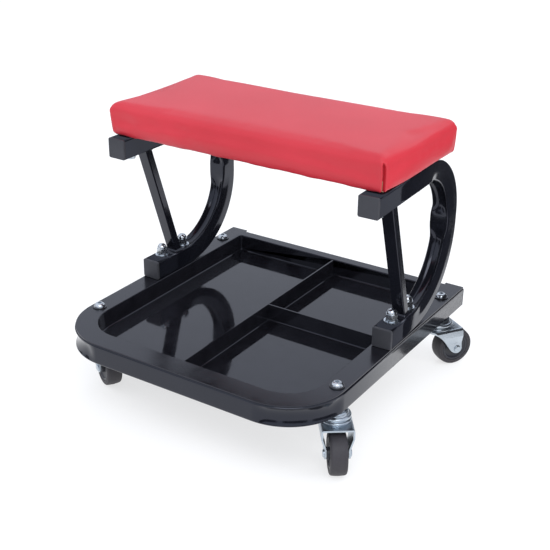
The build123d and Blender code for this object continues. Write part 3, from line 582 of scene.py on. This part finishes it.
def lathe(name, body, slot, centre, axis, profile, stands_for=()):
    """Turned piece: a closed profile of (radius, height) points, in mm, spun about an axis."""
    shape = bmesh.new()
    spin = Vector((0, 0, 1)).rotation_difference(Vector(axis)).to_matrix()
    rings = []
    for step in range(LATHE_STEPS):
        angle = 2 * math.pi * step / LATHE_STEPS
        ring = []
        for radius, height in profile:
            point = Vector((radius * math.cos(angle), radius * math.sin(angle), height)) / 1000
            ring.append(shape.verts.new(Vector(centre) + spin @ point))
        rings.append(ring)
    for a, b in zip(rings, rings[1:] + rings[:1]):
        for k in range(len(profile)):
            after = (k + 1) % len(profile)
            shape.faces.new((a[k], b[k], b[after], a[after]))
    bmesh.ops.recalc_face_normals(shape, faces=shape.faces)
    mesh = bpy.data.meshes.new(name)
    shape.to_mesh(mesh)
    shape.free()
    mesh.materials.append(MATERIALS[slot])
    mesh.shade_smooth()
    piece = bpy.data.objects.new(name, mesh)
    bpy.context.scene.collection.objects.link(piece)
    bevel = piece.modifiers.new("rounding", "BEVEL")
    bevel.width = 0.0003
    bevel.segments = 2
    bevel.limit_method = "ANGLE"
    bevel.angle_limit = math.radians(26)
    piece.modifiers.new("shading", "WEIGHTED_NORMAL").keep_sharp = False
    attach(piece, body)
    if stands_for:
        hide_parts(*stands_for)


# Heights above the floor and radii about the swivel axis, in mm.
RACE_PROFILE = [
    (4.05, 61.7), (14.9, 61.7), (14.9, 60.3), (16.0, 60.2), (16.9, 60.9), (17.2, 62.2), (16.9, 63.5),
    (16.0, 64.4), (14.6, 64.7), (14.1, 65.2), (13.7, 67.0), (13.0, 68.2), (12.2, 68.8), (11.4, 69.1),
    (10.8, 69.6), (10.6, 70.5), (4.05, 70.5),
]
SHROUD_PROFILE = [
    (15.2, 58.9), (16.3, 58.8), (17.2, 58.1), (17.6, 57.0), (17.3, 55.9), (16.7, 55.2), (16.9, 54.6),
    (17.6, 54.2), (18.1, 53.4), (18.2, 51.6), (17.9, 50.8), (17.2, 50.7), (16.9, 51.4), (16.8, 53.4),
    (15.4, 54.6),
]
# Radii about the axle and distances from the wheel's middle, in mm.
TYRE_HALF = [
    (18.0, 9.0), (18.5, 9.6), (19.3, 9.8), (20.2, 9.8), (20.7, 9.35), (21.3, 9.3), (21.8, 9.65),
    (22.6, 9.5), (23.5, 9.0), (24.1, 8.2), (24.45, 7.0), (24.6, 5.4), (24.8, 2.8), (24.9, 0.5), (25.0, 0.2),
]
HUB_HALF = [
    (4.2, 12.0), (6.6, 12.0), (7.0, 11.4), (7.3, 7.2), (8.6, 6.6), (12.6, 7.0), (14.6, 7.9), (15.4, 8.9),
    (16.0, 9.3), (17.4, 9.3), (18.0, 8.9),
]


def wheel_profile(half):
    """Closed wheel profile: up one side of the tread or rim and down the other, closed at the bore."""
    other = [(radius, -width) for radius, width in reversed(half)]
    return half + other


def make_casters():
    """Turned races, crown shrouds, tyres and hubs; the pressed forks stay as the CAD has them."""
    joints = {joint["name"]: joint for joint in frame["joints"]}
    for caster in CASTERS:
        x, y, _ = joints[f"{caster}_turn"]["pos_m"]
        roll = joints[f"{caster}_roll"]
        lathe(
            f"{caster}_race", "frame", "zinc_sheet", (x, y, 0), (0, 0, 1), RACE_PROFILE,
            (f"{caster}_race_cup",),
        )
        lathe(f"{caster}_shroud", f"{caster}_swivel", "zinc_sheet", (x, y, 0), (0, 0, 1), SHROUD_PROFILE)
        for part, slot, half in (("tyre", "tyre", TYRE_HALF), ("hub", "hub_plastic", HUB_HALF)):
            lathe(
                f"{caster}_{part}_turned", f"{caster}_wheel", slot, roll["pos_m"], roll["axis"],
                wheel_profile(half), (f"{caster}_wheel_{part}",),
            )


# ---- seat cushion -----------------------------------------------------------------------------------
SEAT_HALF = (0.188, 0.0885)  # at the top, where the seat is widest
SEAT_MID_Y = 0.029
SEAT_LOW, SEAT_HIGH = 0.301, 0.342
SEAT_FLARE = math.radians(4)
BOARD_TOP = 0.3142
START_SHRINK = 0.0012  # the cover swells by about this much above the board
SWELL_CAP = 0.0018
VOXEL = 0.0034
LINING_HALF = (0.1636, 0.0641)  # opening in the hem, where the lining shows
HEM_T = 0.0012
SIM_FRAMES = 20
SMOOTH_PASSES = 6


def seat_half(z):
    """Half length and half width of the flaring seat at height z."""
    lean = (SEAT_HIGH - z) * math.tan(SEAT_FLARE)
    return SEAT_HALF[0] - lean, SEAT_HALF[1] - lean


def cushion_start():
    """Padded block that flares upwards, its edges rounded and its top a little low."""
    high_z = SEAT_HIGH - START_SHRINK
    shape = bmesh.new()
    bmesh.ops.create_cube(shape, size=2)
    for v in shape.verts:
        z = high_z if v.co.z > 0 else SEAT_LOW
        half_x, half_y = seat_half(z)
        v.co = Vector((v.co.x * half_x, SEAT_MID_Y + v.co.y * half_y, z))
    upright = [e for e in shape.edges if abs(e.verts[0].co.z - e.verts[1].co.z) > 0.01]
    bmesh.ops.bevel(shape, geom=upright, offset=0.0042, segments=5, profile=0.5, affect="EDGES")
    top = [e for e in shape.edges if all(v.co.z > high_z - 1e-6 for v in e.verts)]
    bmesh.ops.bevel(shape, geom=top, offset=0.0085, segments=7, profile=0.5, affect="EDGES")
    foot = [e for e in shape.edges if all(v.co.z < SEAT_LOW + 1e-6 for v in e.verts)]
    bmesh.ops.bevel(shape, geom=foot, offset=0.0012, segments=2, profile=0.5, affect="EDGES")
    mesh = bpy.data.meshes.new("seat_cushion")
    shape.to_mesh(mesh)
    shape.free()
    piece = bpy.data.objects.new("seat_cushion", mesh)
    bpy.context.scene.collection.objects.link(piece)
    return piece


def apply_modifiers(piece):
    """Bakes every modifier into the mesh."""
    graph = bpy.context.evaluated_depsgraph_get()
    mesh = bpy.data.meshes.new_from_object(piece.evaluated_get(graph))
    piece.modifiers.clear()
    piece.data = mesh


def simulate(piece):
    """Blows the cover up against its foam for a few frames; the board side is held."""
    rest = [v.co.copy() for v in piece.data.vertices]
    held = piece.vertex_groups.new(name="held")
    held.add([v.index for v in piece.data.vertices if v.co.z < SEAT_LOW + 0.004], 1.0, "REPLACE")
    cloth = piece.modifiers.new("cloth", "CLOTH")
    cloth.settings.quality = 6
    cloth.settings.mass = 0.3
    cloth.settings.tension_stiffness = 40
    cloth.settings.compression_stiffness = 40
    cloth.settings.bending_stiffness = 4
    cloth.settings.use_pressure = True
    cloth.settings.uniform_pressure_force = 4
    cloth.settings.vertex_group_mass = "held"
    cloth.settings.effector_weights.gravity = 0
    for number in range(1, SIM_FRAMES + 1):
        bpy.context.scene.frame_set(number)
    apply_modifiers(piece)
    for v, start in zip(piece.data.vertices, rest):
        moved = v.co - start
        if moved.length > SWELL_CAP:
            v.co = start + moved.normalized() * SWELL_CAP


def bell(distance, width):
    return math.exp(-((distance / width) ** 2))


CORNER_REACH = 0.030  # how far a corner's tuck pulls the cover about it
TUCK_TOP = 0.86  # share of the seat's height where a tuck closes
TUCK_FADE = 0.12  # share of the height over which it opens
SLIT_W, SLIT_GROWTH = 0.0013, 0.0005
RIDGE_H, RIDGE_OFF, RIDGE_W = 0.0012, 0.0040, 0.0020
EDGE_BAND = 0.006  # how deep a side's own shaping reaches
CROWN_RISE = 0.0014
BELLY_OUT = 0.0008
LONG_WRINKLE, END_WRINKLE = 0.0010, 0.0006
HEM_BAND, HEM_WAVE = 0.10, 0.0014  # share of the height, and how far the lower edge waves
# Each corner: side along X, side along Y, depth of its tuck, lean of the tuck, and how far the corner is
# pushed out along X at its foot and at its top.
CORNERS = (
    (1, -1, 0.0056, -0.0012, -0.0026, -0.0032),
    (-1, -1, 0.0034, 0.0016, 0.0, 0.0036),
    (1, 1, 0.0040, 0.0010, 0.0, 0.0008),
    (-1, 1, 0.0040, -0.0010, 0.0, 0.0006),
)


def tuck(along, height, depth, lean):
    """Inward push of a folded corner: a sharp slit between two soft ridges, closing below the top edge."""
    if height > TUCK_TOP:
        return 0.0
    below = TUCK_TOP - height
    along -= lean * below
    opening = min(1.0, below / TUCK_FADE)
    slit = depth * bell(along, SLIT_W + SLIT_GROWTH * opening)
    ridges = RIDGE_H * (bell(along - RIDGE_OFF, RIDGE_W) + bell(along + RIDGE_OFF, RIDGE_W))
    return (slit - ridges) * opening


def side_wrinkle(across, height):
    """Soft sideways ripple of the long sides, deeper and tighter towards the left."""
    broad = 0.5 * math.sin(13 * across + 2.1 + 3 * height)
    slanted = 0.35 * math.sin(29 * across + 8 * height) * bell(across + 0.55, 0.45)
    return broad + slanted


def shape_cushion(piece):
    """Crown, corner tucks, soft wrinkles, the wavy bottom edge and the hem, moved point by point."""
    for v in piece.data.vertices:
        x, y, z = v.co.x, v.co.y - SEAT_MID_Y, v.co.z
        half_x, half_y = seat_half(z)
        across, deep = x / half_x, y / half_y
        height = (z - SEAT_LOW) / (SEAT_HIGH - SEAT_LOW)
        belly = math.sin(math.pi * min(1.0, max(0.0, height)))
        crown = max(0.0, 1 - across ** 4) * max(0.0, 1 - deep ** 2)
        v.co.z += CROWN_RISE * crown * max(0.0, height * 2 - 1)
        side_x, side_y = math.copysign(1, x), math.copysign(1, y)
        gap_x, gap_y = half_x - abs(x), half_y - abs(y)  # inside the end face, inside the long side
        long_side, end = gap_y < EDGE_BAND, gap_x < EDGE_BAND
        if long_side:
            wrinkle = LONG_WRINKLE * side_wrinkle(across, height)
            v.co.y += side_y * belly * (wrinkle + BELLY_OUT * (1 - across ** 4))
        if end:
            sway = math.sin(7 * deep + 1.3 + 2 * height)
            v.co.x += side_x * belly * (END_WRINKLE * sway + BELLY_OUT * (1 - deep ** 2))
        for corner_x, corner_y, depth, lean, at_foot, at_top in CORNERS:
            if corner_x != side_x or corner_y != side_y:
                continue
            reach = bell(math.hypot(gap_x, gap_y), CORNER_REACH)
            bulge = at_foot + (at_top - at_foot) * min(1.0, max(0.0, height))
            v.co.x += corner_x * bulge * reach
            if min(gap_x, gap_y) < 0.004 and max(gap_x, gap_y) < 0.014:
                push = tuck(gap_x - gap_y, height, depth, lean) * 0.7071
                v.co.x -= corner_x * push
                v.co.y -= corner_y * push
        # The cover's lower edge waves a little where it turns under.
        if (long_side or end) and height < HEM_BAND:
            wave = 0.5 + 0.35 * math.sin(19 * across + 5 * deep) + 0.15 * math.sin(47 * across)
            v.co.z += HEM_WAVE * wave * (1 - max(0.0, height) / HEM_BAND)
        # Underneath, the hem stands proud of the lining.
        if z < SEAT_LOW + 0.0008 and abs(x) < LINING_HALF[0] and abs(y) < LINING_HALF[1]:
            v.co.z = SEAT_LOW + HEM_T
    piece.data.update()


def make_cushion():
    """The padded seat: the cover swollen over its foam, in one closed piece that stands for both."""
    piece = cushion_start()
    remesh = piece.modifiers.new("remesh", "REMESH")
    remesh.mode = "VOXEL"
    remesh.voxel_size = VOXEL
    apply_modifiers(piece)
    simulate(piece)
    relax = piece.modifiers.new("relax", "SMOOTH")
    relax.iterations = SMOOTH_PASSES
    relax.factor = 0.5
    smooth = piece.modifiers.new("finer", "SUBSURF")
    smooth.levels = smooth.render_levels = 2
    apply_modifiers(piece)
    shape_cushion(piece)
    piece.data.materials.clear()
    piece.data.materials.append(MATERIALS["red_vinyl"])
    piece.data.shade_smooth()
    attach(piece, "frame")
    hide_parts("seat_cover", "seat_foam")


make_camera()
make_studio()
paint_cad_nodes()
make_caps()
make_tray()
make_arms()
make_base()
make_casters()
make_cushion()
